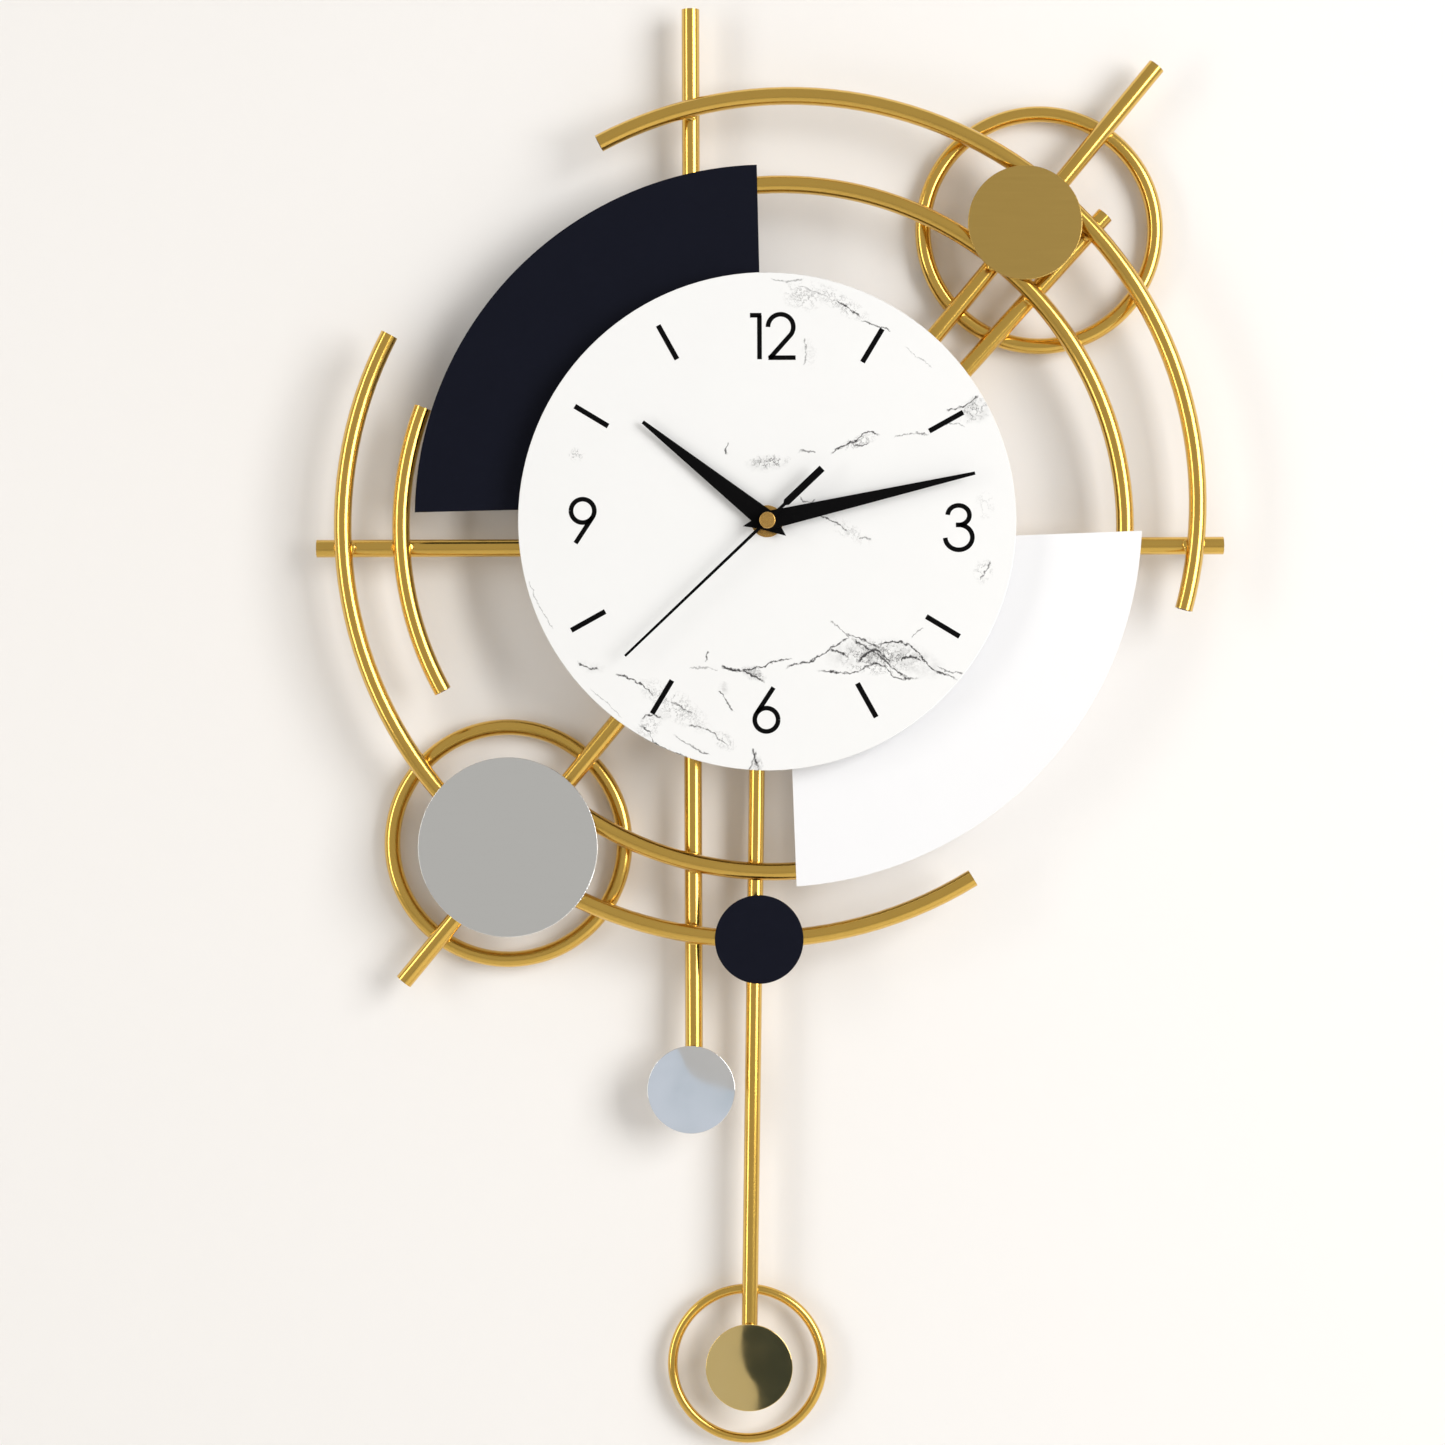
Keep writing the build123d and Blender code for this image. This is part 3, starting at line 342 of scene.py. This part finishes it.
class Marble(Shader):
    """White board printed with sparse grey veins, laid out about the hand axis in millimetres."""

    def __init__(self):
        super().__init__("marble_print")
        centred = self.vector("SUBTRACT", self.position, (DIAL.x, 0.0, DIAL.z))
        self.flat = self.vector("MULTIPLY", centred, (1 / MM, 0.0, 1 / MM))
        slow = self.push(0.06, 3.0, 2)
        jagged = self.push(0.33, 4.2, 4)
        self.drawn = self.vector("ADD", self.flat, self.vector("ADD", slow, jagged))
        split = self.node("ShaderNodeSeparateXYZ")
        self.wire(split.inputs[0], self.drawn)
        self.across, self.up = split.outputs["X"], split.outputs["Z"]
        self.broken = self.range(self.noise(0.45, 2, at=self.flat), 0.34, 0.5, 0.5, 1.25)
        self.total = None

    def push(self, scale, amount, detail):
        """A wobble of the drawing, in millimetres from end to end of its travel."""
        wobble = self.noise(scale, detail, 0.62, at=self.flat, colour=True)
        centred = self.vector("SUBTRACT", wobble, (0.5, 0.5, 0.5))
        return self.vector("MULTIPLY", centred, (amount, 0.0, amount))

    def lay(self, amount):
        """Adds to the print; where two marks cross, the darker one shows."""
        self.total = amount if self.total is None else self.math("MAXIMUM", self.total, amount)

    def vein(self, points, half_width, darkness, upright=False):
        """Draws one vein as a curve over its own length; it thins out at both ends."""
        along, level = (self.up, self.across) if upright else (self.across, self.up)
        line = [(z, x) if upright else (x, z) for x, z in points]
        start, end = line[0][0], line[-1][0]
        low, high = min(p[1] for p in line) - 1.0, max(p[1] for p in line) + 1.0
        share = self.range(along, start, end)
        curve = self.node("ShaderNodeFloatCurve")
        knots = curve.mapping.curves[0].points
        for i, (place, height) in enumerate(line):
            spot = ((place - start) / (end - start), (height - low) / (high - low))
            if i in (0, len(line) - 1):
                knots[0 if i == 0 else len(knots) - 1].location = spot
            else:
                knots.new(*spot)
        curve.mapping.update()
        self.wire(curve.inputs["Value"], share)
        course = self.range(curve.outputs[0], 0.0, 1.0, low, high)
        gap = self.math("ABSOLUTE", self.math("SUBTRACT", level, course))
        stroke = self.range(gap, half_width, half_width * 0.25)
        ends = self.math("MULTIPLY", self.math("PINGPONG", share, 0.5), 10.0, clamp=True)
        self.lay(self.math("MULTIPLY", self.math("MULTIPLY", stroke, ends), darkness))

    def oval(self, centre, size, turn):
        """One in the middle of an oval, falling to nothing at its edge."""
        rotate = self.node("ShaderNodeVectorRotate", rotation_type="Y_AXIS")
        self.wire(rotate.inputs["Vector"],
                  self.vector("SUBTRACT", self.drawn, (centre[0], 0.0, centre[1])))
        rotate.inputs["Angle"].default_value = math.radians(turn)
        scaled = self.vector("MULTIPLY", rotate.outputs[0], (1 / size[0], 0.0, 1 / size[1]))
        return self.range(self.vector("LENGTH", scaled), 1.0, 0.35)

    def scribbles(self, fields):
        """Crinkled lines where a rough noise crosses its middle, kept to some ovals."""
        fine = self.math("ABSOLUTE", self.math("SUBTRACT",
                                               self.noise(0.16, 6, 0.72, at=self.flat), 0.5))
        lines = self.range(fine, 0.022, 0.004)
        kept = None
        for centre, size, turn, darkness in fields:
            oval = self.math("MULTIPLY", self.oval(centre, size, turn), darkness)
            kept = oval if kept is None else self.math("MAXIMUM", kept, oval)
        self.lay(self.math("MULTIPLY", lines, kept))

    def clouds(self, fields):
        """Soft mottled grey, kept to some ovals."""
        cloud = self.range(self.noise(0.22, 4, 0.7, at=self.flat), 0.38, 0.62)
        for centre, size, turn, darkness in fields:
            self.lay(self.math("MULTIPLY", self.math("MULTIPLY", cloud, darkness),
                               self.oval(centre, size, turn)))


def marble_print():
    """The printed board: broken veins and scribbles over soft clouds, on the front face only."""
    m = Marble()
    for points, half_width, darkness in CROSS_VEINS:
        m.vein(points, half_width, darkness)
    for points, half_width, darkness in UPRIGHT_VEINS:
        m.vein(points, half_width, darkness, upright=True)
    m.scribbles(SCRIBBLES)
    m.total = m.math("MULTIPLY", m.total, m.broken)
    m.clouds(CLOUDS)
    faint = m.math("MULTIPLY", m.noise(0.02, 3, at=m.flat), 0.03)
    facing = m.node("ShaderNodeSeparateXYZ")
    m.wire(facing.inputs[0], m.node("ShaderNodeTexCoord").outputs["Normal"])
    front_only = m.math("LESS_THAN", facing.outputs["Y"], -0.5)
    printed = m.math("MULTIPLY", m.math("ADD", m.total, faint), front_only, clamp=True)
    m.set(colour=m.mix(printed, MARBLE_WHITE, VEIN_GREY),
          roughness=m.range(m.noise(300, 2), 0.3, 0.7, 0.38, 0.46), specular=0.25)
    m.bump(m.noise(1200, 2), 0.00001)
    return m.material


def ink_black(name):
    """Deep matt black, as printed on the dial and sprayed on the hands."""
    s = Shader(name)
    s.set(colour=s.mix(s.noise(500, 2), (0.0016, 0.0016, 0.002), (0.0036, 0.0034, 0.0036)),
          specular=0.04, roughness=s.range(s.noise(1500, 2), 0.3, 0.7, 0.45, 0.6))
    s.bump(s.noise(2500, 2), 0.00001)
    return s.material


MATERIALS = {
    "satin_gold": satin_gold(),
    "brushed_gold": brushed("brushed_gold", (0.645, 0.435, 0.118), (0.675, 0.455, 0.13),
                            (0.16, 0.24), 0.000003),
    "brushed_silver": brushed("brushed_silver", (0.84, 0.85, 0.845), (0.855, 0.865, 0.86),
                              (0.15, 0.19), 0.0000007),
    "navy_paint": paint("navy_paint", (0.0042, 0.0052, 0.0125), (0.0034, 0.0042, 0.0105), 0.1),
    "white_paint": paint("white_paint", (0.875, 0.88, 0.90), (0.86, 0.865, 0.885), 0.25),
    "silver_mirror": mirror("silver_mirror", (0.93, 0.94, 0.95), (0.90, 0.91, 0.92)),
    "gold_mirror": mirror("gold_mirror", (0.97, 0.75, 0.33), (0.95, 0.73, 0.31)),
    "marble_print_board": marble_print(),
    "black_hands": ink_black("black_hands"),
    "brass": turned_brass(),
    "zinc_steel": plated_metal("zinc_steel", (0.62, 0.62, 0.60), (0.50, 0.50, 0.49)),
    "bumper_rubber": rubber(),
    "black_plastic": moulded_plastic("black_plastic", (0.02, 0.02, 0.022), (0.012, 0.012, 0.013)),
    "battery_jacket": battery_jacket(),
    "circuit_laminate": moulded_plastic("circuit_laminate", (0.02, 0.16, 0.06),
                                        (0.01, 0.10, 0.04)),
    "copper_winding": copper_winding(),
    "gear_acetal": moulded_plastic("gear_acetal", (0.75, 0.75, 0.70), (0.66, 0.66, 0.60)),
    "magnet": plated_metal("magnet", (0.42, 0.42, 0.43), (0.32, 0.32, 0.33)),
}
INK = ink_black("printed_ink")

for node_name, node_object in frame["nodes"].items():
    node_object.data.materials.clear()
    node_object.data.materials.append(MATERIALS[SLOT_OF[node_name]])


# ---------------------------------------------------------------- pieces made here
def piece(name, build, material, body):
    """A mesh filled by build(bmesh), which rides on a body and takes one material."""
    shape = bmesh.new()
    build(shape)
    bmesh.ops.recalc_face_normals(shape, faces=shape.faces)
    mesh = bpy.data.meshes.new(name)
    shape.to_mesh(mesh)
    shape.free()
    mesh.materials.append(material)
    made = bpy.data.objects.new(name, mesh)
    bpy.context.scene.collection.objects.link(made)
    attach(made, body)
    return made


# Printed figures, drawn by their centre lines in millimetres from the figure's lower left corner
# (the six from its middle).
STROKE = 2.55
INK_LIFT = 0.08


def arc(centre, radii, start, end, steps=28):
    """Points of an oval arc, from start to end degrees, turning left."""
    return [(centre[0] + radii[0] * math.cos(math.radians(start + (end - start) * i / steps)),
             centre[1] + radii[1] * math.sin(math.radians(start + (end - start) * i / steps)))
            for i in range(steps + 1)]


def ribbon(shape, points, width, origin, turn=0.0):
    """Flat printed stroke of one width along a line of points, laid just on the dial."""
    spin = Matrix.Rotation(math.radians(turn), 2)
    path = [Vector(p) for p in points]
    rows = []
    for i, here in enumerate(path):
        before, after = path[max(i - 1, 0)], path[min(i + 1, len(path) - 1)]
        run_in, run_out = here - before, after - here
        if not run_in.length:
            run_in = run_out
        if not run_out.length:
            run_out = run_in
        normal = (run_in.normalized() + run_out.normalized()).normalized()
        side = Vector((-normal.y, normal.x)) * width / 2
        side /= max(normal.dot(run_out.normalized()), 0.5)
        rows.append([origin + spin @ (here + side), origin + spin @ (here - side)])
    layers = []
    for lift in (0.0, INK_LIFT):
        layers.append([[shape.verts.new(on_dial(p.x, p.y, lift)) for p in row] for row in rows])
    back, front = layers
    for i in range(len(rows) - 1):
        for a, b in ((front, front), (back, back)):
            shape.faces.new((a[i][0], a[i][1], b[i + 1][1], b[i + 1][0]))
        for side in (0, 1):
            shape.faces.new((back[i][side], front[i][side], front[i + 1][side],
                             back[i + 1][side]))
    for i in (0, len(rows) - 1):
        shape.faces.new((back[i][0], front[i][0], front[i][1], back[i][1]))


def figure_one(shape, origin):
    """Upright with a level flag at its top left."""
    ribbon(shape, [(6.1, 0), (6.1, 24.2)], STROKE, origin)
    ribbon(shape, [(7.2, 24.3), (0.9, 24.3)], STROKE, origin)


def figure_two(shape, origin):
    """Round bowl run straight down to the left, over a level foot."""
    bowl = arc((8.1, 18.0), (7.0, 7.0), 180, -38)
    ribbon(shape, bowl + [(1.9, 0.6)], STROKE, origin)
    ribbon(shape, [(1.3, 1.05), (16.3, 1.05)], STROKE, origin)


def figure_three(shape, origin):
    """Two open bowls joined by a short level bar."""
    ribbon(shape, arc((8.6, 20.2), (6.0, 5.4), 178, -90), STROKE, origin)
    ribbon(shape, arc((8.7, 8.0), (7.5, 6.9), 90, -178), STROKE, origin)
    ribbon(shape, [(7.1, 14.85), (9.4, 14.85)], STROKE, origin)


def figure_six(shape, origin, turn=0.0):
    """Ring with a straight stroke tangent to it; centred, so that half a turn makes a nine."""
    bowl = (0.0, -5.6)
    ribbon(shape, arc(bowl, (6.45, 6.45), 0, 360, 56), STROKE, origin, turn)
    ribbon(shape, [(4.0, 12.2), (-5.3, -1.9)], STROKE, origin, turn)


def dial_print(shape):
    """Twelve, three, six and nine; each place is measured from the hand axis."""
    figure_one(shape, Vector((-10.0, 89.4)))
    figure_two(shape, Vector((-0.3, 89.2)))
    figure_three(shape, Vector((97.0, -17.2)))
    figure_six(shape, Vector((-0.8, -103.9)))
    figure_six(shape, Vector((-101.8, 0.5)), turn=180.0)


MARK_INNER, MARK_OUTER, MARK_WIDTH = 102.3, 123.7, 2.85
MARK_TURN = -1.1  # degrees: the marks are printed a little clockwise of true


def hour_marks(shape):
    """A short stroke at each hour that has no figure."""
    for hour in range(12):
        if hour % 3:
            turn = math.radians(90 - 30 * hour + MARK_TURN)
            way = Vector((math.cos(turn), math.sin(turn)))
            ribbon(shape, [tuple(way * MARK_INNER), tuple(way * MARK_OUTER)], MARK_WIDTH,
                   Vector((0, 0)))


piece("dial_numerals", dial_print, INK, "frame")
piece("dial_hour_marks", hour_marks, INK, "frame")


# ---------------------------------------------------------------- welds where tubes touch
STRAIGHT_TUBES = ["long_diagonal_upper", "long_diagonal_lower", "short_diagonal",
                  "vertical_bar_upper", "vertical_bar_lower", "horizontal_bar_left",
                  "horizontal_bar_right"]
CROSSING_TUBES = ["outer_upper_arc", "inner_upper_arc", "outer_lower_arc", "inner_left_arc",
                  "inner_lower_arc", "upper_ring", "lower_ring"]
TOUCHING = 0.6 * MM
# Each bead's half sizes along, across and out from the straight tube, and how far it stands to
# either side of the place where the tubes touch, in millimetres.
FRAME_BEAD, FRAME_BEAD_OUT = (2.3, 3.1, 1.5), 3.9
BOB_BEAD, BOB_BEAD_OUT = (1.6, 2.6, 1.1), 2.1
# The bob's beads take their lumps from another part of the noise than the frame's.
BOB_SEED = 50


def surface(node):
    """Search tree of a CAD node's mesh, in world coordinates."""
    shape = bmesh.new()
    shape.from_mesh(frame["nodes"][node].data)
    shape.transform(frame["nodes"][node].matrix_world)
    return BVHTree.FromBMesh(shape)


def tube_ends(node):
    """Middles of the two saw cuts of a straight tube."""
    placed = frame["nodes"][node]
    points = [placed.matrix_world @ v.co for v in placed.data.vertices]
    centre = sum(points, Vector()) / len(points)
    run = max(points, key=lambda p: (p - centre).length) - centre
    ends = []
    for sign in (1, -1):
        near = [p for p in points if sign * (p - centre).dot(run) > 0]
        ends.append(sum(near, Vector()) / len(near))
    return ends


def touches(straight, crossing, radius):
    """Places where a crossing tube lies on the front or back of a straight one, with its run."""
    tree = surface(crossing)
    first, last = tube_ends(straight)
    run = last - first
    found = []
    for side in (FRONT, -FRONT):
        gaps = []
        steps = int(run.length / MM)
        for i in range(steps + 1):
            spot = first + run * i / steps + side * radius
            gaps.append((tree.find_nearest(spot)[3], spot))
        for before, here, after in zip(gaps, gaps[1:], gaps[2:]):
            if here[0] < TOUCHING and here[0] <= before[0] and here[0] < after[0]:
                found.append(here[1])
    return [(spot, run.normalized()) for spot in found]


def bead(shape, place, along, size, seed):
    """One uneven weld bead: an oval lump, longest across the tube it sits on."""
    across = along.cross(FRONT).normalized()
    made = bmesh.ops.create_icosphere(shape, subdivisions=3, radius=1.0)["verts"]
    for vertex in made:
        lump = 1 + 0.22 * noise.noise(vertex.co * 1.7 + Vector((seed, 0, 0)))
        local = Vector((vertex.co.x * size[0], vertex.co.y * size[1], vertex.co.z * size[2])) * lump
        vertex.co = place + (along * local.x + across * local.y + FRONT * local.z) * MM


def frame_welds(shape):
    """Two beads wherever an arc or a ring touches a straight tube."""
    seed = 0
    for straight in STRAIGHT_TUBES:
        for crossing in CROSSING_TUBES:
            for spot, along in touches(straight, crossing, TUBE_RADIUS):
                for side in (-1, 1):
                    seed += 1
                    bead(shape, spot + along * side * FRAME_BEAD_OUT * MM, along, FRAME_BEAD,
                         seed)


def bob_welds(shape):
    """Two beads wherever the pendulum's ring touches its rod."""
    found = touches("pendulum_rod", "pendulum_ring", ROD_RADIUS)
    for number, (spot, along) in enumerate(found):
        for side in (-1, 1):
            bead(shape, spot + along * side * BOB_BEAD_OUT * MM, along, BOB_BEAD,
                 BOB_SEED + number + side)


GOLD = MATERIALS["satin_gold"]
for welds in (piece("frame_weld_beads", frame_welds, GOLD, "frame"),
              piece("bob_weld_beads", bob_welds, GOLD, "pendulum")):
    for face in welds.data.polygons:
        face.use_smooth = True


# ---------------------------------------------------------------- wall, floor, light, camera
def stage_sheet(name, corners, colour, rough, one_sided=False):
    """A flat stage piece; a one-sided sheet is seen from its front only and casts no shadow."""
    mesh = bpy.data.meshes.new(name)
    mesh.from_pydata([tuple(c) for c in corners], [], [tuple(range(len(corners)))])
    sheet = bpy.data.objects.new(name, mesh)
    bpy.context.scene.collection.objects.link(sheet)
    s = Shader(name)
    tone = s.noise(1.2, 2)
    s.set(colour=s.mix(tone, tuple(c * 0.985 for c in colour), colour), roughness=rough)
    s.bump(s.noise(160, 3), 0.00006)
    if one_sided:
        blend = s.node("ShaderNodeMixShader")
        s.wire(blend.inputs[0], s.math("MAXIMUM",
                                       s.node("ShaderNodeNewGeometry").outputs["Backfacing"],
                                       s.node("ShaderNodeLightPath").outputs["Is Shadow Ray"]))
        s.wire(blend.inputs[1], s.bsdf.outputs[0])
        s.wire(blend.inputs[2], s.node("ShaderNodeBsdfTransparent").outputs[0])
        s.wire(s.tree.nodes["Material Output"].inputs["Surface"], blend.outputs[0])
    mesh.materials.append(s.material)
    return sheet


WALL_COLOUR, FLOOR_COLOUR = (0.885, 0.868, 0.852), (0.70, 0.69, 0.68)
WALL_HALF, WALL_TOP, WALL_Y = 3.0, 2.2, 0.0015
FLOOR_Z, FLOOR_FRONT, FLOOR_BACK = -1.5, -4.5, 3.0
stage_sheet("wall", [(-WALL_HALF, WALL_Y, FLOOR_Z), (WALL_HALF, WALL_Y, FLOOR_Z),
                     (WALL_HALF, WALL_Y, WALL_TOP), (-WALL_HALF, WALL_Y, WALL_TOP)],
            WALL_COLOUR, 0.9, one_sided=True)
stage_sheet("floor", [(-WALL_HALF, FLOOR_FRONT, FLOOR_Z), (WALL_HALF, FLOOR_FRONT, FLOOR_Z),
                      (WALL_HALF, FLOOR_BACK, FLOOR_Z), (-WALL_HALF, FLOOR_BACK, FLOOR_Z)],
            FLOOR_COLOUR, 0.7)


def softbox(name, turn, reach, size, radiance, tint, height=0.0, behind=False):
    """Rectangular lamp aimed at the clock, turned from straight in front of it towards +X.

    A lamp behind is turned from straight behind it, and shines through the one-sided wall.
    """
    aim = Vector((0, 0, -0.2))
    away = 1 if behind else -1
    place = aim + Vector((reach * math.sin(math.radians(turn)),
                          away * reach * math.cos(math.radians(turn)), height))
    data = bpy.data.lights.new(name, "AREA")
    data.shape = "RECTANGLE"
    data.size, data.size_y = size
    data.energy = radiance * math.pi * size[0] * size[1]
    data.color = tint
    lamp = bpy.data.objects.new(name, data)
    lamp.location = place
    lamp.rotation_euler = (aim - place).to_track_quat("-Z", "Y").to_euler()
    lamp.visible_camera = False
    bpy.context.scene.collection.objects.link(lamp)


softbox("window_right", 46, 2.9, (1.5, 2.2), 6.7, (1.0, 0.995, 0.985), height=0.6)
softbox("window_left", -56, 2.3, (0.5, 2.0), 4.2, (1.0, 0.985, 0.95), height=0.2)
softbox("rear_fill", 25, 2.6, (1.8, 1.8), 1.2, (1.0, 1.0, 1.0), height=0.6, behind=True)

# The room is brighter where polished metal looks at it than in the light that it sheds.
ROOM_SEEN, ROOM_SHED = 0.5, 0.44
world = bpy.data.worlds.new("studio")
world.use_nodes = True
room = world.node_tree.nodes["Background"]
room.inputs["Color"].default_value = (1.0, 0.97, 0.93, 1)
strength = world.node_tree.nodes.new("ShaderNodeMapRange")
rays = world.node_tree.nodes.new("ShaderNodeLightPath")
world.node_tree.links.new(rays.outputs["Is Diffuse Ray"], strength.inputs["Value"])
strength.inputs["To Min"].default_value = ROOM_SEEN
strength.inputs["To Max"].default_value = ROOM_SHED
world.node_tree.links.new(strength.outputs["Result"], room.inputs["Strength"])
bpy.context.scene.world = world
bpy.context.scene.view_settings.view_transform = "Standard"

# The camera stands square to the wall, a little left of and below the hand axis,
# just under two metres off, and leans a fifth of a degree.
CAMERA_OFFSET = Vector((-0.02505, 0, -0.11092))
CAMERA_DISTANCE, VIEW_WIDTH_AT_WALL, LEAN = 1.9845, 0.81553, math.radians(-0.2)
EYE = Vector((DIAL.x + CAMERA_OFFSET.x, -CAMERA_DISTANCE, DIAL.z + CAMERA_OFFSET.z))
camera_data = bpy.data.cameras.new("camera")
camera_data.sensor_width = 36.0
camera_data.lens = camera_data.sensor_width * CAMERA_DISTANCE / VIEW_WIDTH_AT_WALL
camera = bpy.data.objects.new("camera", camera_data)
camera.matrix_world = (Matrix.Translation(EYE) @ Matrix.Rotation(math.radians(90), 4, "X")
                       @ Matrix.Rotation(LEAN, 4, "Z"))
bpy.context.scene.collection.objects.link(camera)
bpy.context.scene.camera = camera


# Plane, a little in front of the camera, where the glowing cards that paint reflections into the
# mirrors stand.
CARD_Y = -1.9


def seen_in(mirror_node, x, z, far_y):
    """The point of the plane far_y that shows x, z millimetres from the middle of a mirror."""
    face_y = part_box(mirror_node)[0].y
    on_face = middle(mirror_node) + Vector((x, 0, z)) * MM
    on_face.y = face_y
    reach = (2 * face_y - far_y - EYE.y) / (face_y - EYE.y)
    beyond = EYE + (on_face - EYE) * reach
    return Vector((beyond.x, far_y, beyond.z))


def painted_reflection_card(name, mirror_node, outline, light, dark):
    """A softly mottled glowing card that only reflections see, laid out as it appears in one mirror: a
    painted reflection, not a lamp.
    """
    card = stage_sheet(name, [seen_in(mirror_node, x, z, CARD_Y) for x, z in outline], light, 0.9)
    s = Shader(name + "_glow")
    glow = s.node("ShaderNodeEmission")
    s.wire(glow.inputs["Color"], s.mix(s.range(s.noise(17, 3), 0.4, 0.62), light, dark))
    s.wire(s.tree.nodes["Material Output"].inputs["Surface"], glow.outputs[0])
    card.data.materials[0] = s.material
    card.visible_camera = card.visible_diffuse = card.visible_shadow = False


# Glowing cards paint reflections into two mirrors: a dark painted reflection in the right half of the
# polished pendulum disc, and a pale blue painted sky reflection in the lower left of the silver one.
painted_reflection_card("painted_dark_reflection", "pendulum_disc",
               [(-3.7, 27), (-4.8, 19), (-4.8, 14), (-4.1, 8.5), (-1.8, 0), (1.0, -6), (3.8, -10),
                (5.0, -14), (5.2, -18), (4.5, -27), (34, -27), (34, 27)],
               (0.045, 0.058, 0.07), (0.052, 0.062, 0.07))
painted_reflection_card("painted_sky_reflection", "silver_disc",
               [(-9, 27), (-3, 14), (1, 9), (7, 4.5), (14, 2), (27, -1), (27, -27), (-27, -27),
                (-27, 27)],
               (0.58, 0.62, 0.68), (0.50, 0.55, 0.60))
